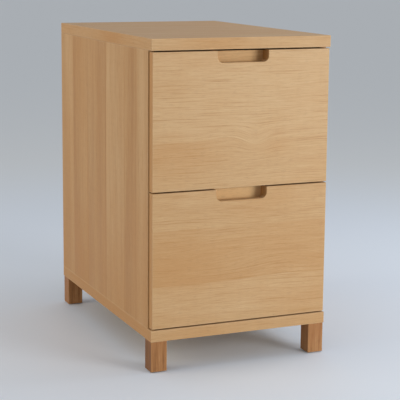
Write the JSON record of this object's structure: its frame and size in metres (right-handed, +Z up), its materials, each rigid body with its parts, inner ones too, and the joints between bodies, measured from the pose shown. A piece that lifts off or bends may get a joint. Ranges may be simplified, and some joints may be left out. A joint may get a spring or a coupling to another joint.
{
  "type": "filing cabinet",
  "caption": "Oak-veneered filing cabinet on short square legs, with full-overlay drawers on telescopic ball-bearing slides and routed finger pulls in their top edges.",
  "frame": {"origin": "On the floor, under the middle of the cabinet", "axes": "+X to the right seen from the front, +Y from the front to the back, +Z up; the drawers open towards -Y"},
  "size_m": [0.4, 0.6, 0.685],
  "materials": {
    "oak_board": "satin lacquered oak veneer",
    "oak_solid": "satin lacquered solid oak",
    "back_board": "lacquered oak veneer on fibreboard",
    "box_wood": "clear lacquered birch plywood",
    "dowel_wood": "plain beech",
    "slide_steel": "zinc-plated sheet steel",
    "ball_steel": "polished steel",
    "screw_steel": "zinc-plated steel",
    "insert_brass": "plain brass",
    "rail_plastic": "extruded plastic, fine matt",
    "bumper_rubber": "soft translucent",
    "glide_plastic": "brown nylon"
  },
  "bodies": {
    "cabinet": {"top_panel": "oak_board", "base_panel": "oak_board", "side_panel_left": "oak_board", "side_panel_right": "oak_board", "back_panel": "back_board", "leg_front_left": "oak_solid", "leg_front_right": "oak_solid", "leg_back_left": "oak_solid", "leg_back_right": "oak_solid", "carcass_dowels": "dowel_wood", "leg_bolts": "screw_steel", "leg_inserts": "insert_brass", "leg_dowels": "dowel_wood", "foot_glides": "glide_plastic", "slide_cabinet_screws": "screw_steel", "lower_slide_outer_left": "slide_steel", "lower_slide_outer_right": "slide_steel", "upper_slide_outer_left": "slide_steel", "upper_slide_outer_right": "slide_steel"},
    "lower_drawer": {"lower_front": "oak_board", "lower_box_front": "oak_board", "lower_box_side_left": "box_wood", "lower_box_side_right": "box_wood", "lower_box_back": "box_wood", "lower_box_floor": "box_wood", "lower_box_dowels": "dowel_wood", "lower_front_screws": "screw_steel", "lower_slide_screws": "screw_steel", "lower_bumpers": "bumper_rubber", "lower_file_rail_left": "rail_plastic", "lower_file_rail_right": "rail_plastic", "lower_slide_inner_left": "slide_steel", "lower_slide_inner_right": "slide_steel"},
    "lower_middle_members": {"lower_slide_middle_left": "slide_steel", "lower_slide_middle_right": "slide_steel"},
    "lower_outer_ball_cages": {"lower_outer_cages": "slide_steel", "lower_outer_balls": "ball_steel"},
    "lower_inner_ball_cages": {"lower_inner_cages": "slide_steel", "lower_inner_balls": "ball_steel"},
    "upper_drawer": {"upper_front": "oak_board", "upper_box_front": "oak_board", "upper_box_side_left": "box_wood", "upper_box_side_right": "box_wood", "upper_box_back": "box_wood", "upper_box_floor": "box_wood", "upper_box_dowels": "dowel_wood", "upper_front_screws": "screw_steel", "upper_slide_screws": "screw_steel", "upper_bumpers": "bumper_rubber", "upper_file_rail_left": "rail_plastic", "upper_file_rail_right": "rail_plastic", "upper_slide_inner_left": "slide_steel", "upper_slide_inner_right": "slide_steel"},
    "upper_middle_members": {"upper_slide_middle_left": "slide_steel", "upper_slide_middle_right": "slide_steel"},
    "upper_outer_ball_cages": {"upper_outer_cages": "slide_steel", "upper_outer_balls": "ball_steel"},
    "upper_inner_ball_cages": {"upper_inner_cages": "slide_steel", "upper_inner_balls": "ball_steel"}
  },
  "joints": [
    {"name": "lower_drawer_slide", "type": "slide", "parent": "cabinet", "child": "lower_drawer", "axis": [0, -1, 0], "range_m": [0, 0.54]},
    {"name": "lower_middle_slide", "type": "slide", "parent": "cabinet", "child": "lower_middle_members", "axis": [0, -1, 0], "range_m": [0, 0.27]},
    {"name": "lower_outer_cage_slide", "type": "slide", "parent": "cabinet", "child": "lower_outer_ball_cages", "axis": [0, -1, 0], "range_m": [0, 0.135]},
    {"name": "lower_inner_cage_slide", "type": "slide", "parent": "cabinet", "child": "lower_inner_ball_cages", "axis": [0, -1, 0], "range_m": [0, 0.405]},
    {"name": "upper_drawer_slide", "type": "slide", "parent": "cabinet", "child": "upper_drawer", "axis": [0, -1, 0], "range_m": [0, 0.54]},
    {"name": "upper_middle_slide", "type": "slide", "parent": "cabinet", "child": "upper_middle_members", "axis": [0, -1, 0], "range_m": [0, 0.27]},
    {"name": "upper_outer_cage_slide", "type": "slide", "parent": "cabinet", "child": "upper_outer_ball_cages", "axis": [0, -1, 0], "range_m": [0, 0.135]},
    {"name": "upper_inner_cage_slide", "type": "slide", "parent": "cabinet", "child": "upper_inner_ball_cages", "axis": [0, -1, 0], "range_m": [0, 0.405]}
  ],
  "couplings": [
    {"joint": "lower_middle_slide", "follows": "lower_drawer_slide", "ratio": 0.5},
    {"joint": "lower_outer_cage_slide", "follows": "lower_drawer_slide", "ratio": 0.25},
    {"joint": "lower_inner_cage_slide", "follows": "lower_drawer_slide", "ratio": 0.75},
    {"joint": "upper_middle_slide", "follows": "upper_drawer_slide", "ratio": 0.5},
    {"joint": "upper_outer_cage_slide", "follows": "upper_drawer_slide", "ratio": 0.25},
    {"joint": "upper_inner_cage_slide", "follows": "upper_drawer_slide", "ratio": 0.75}
  ]
}
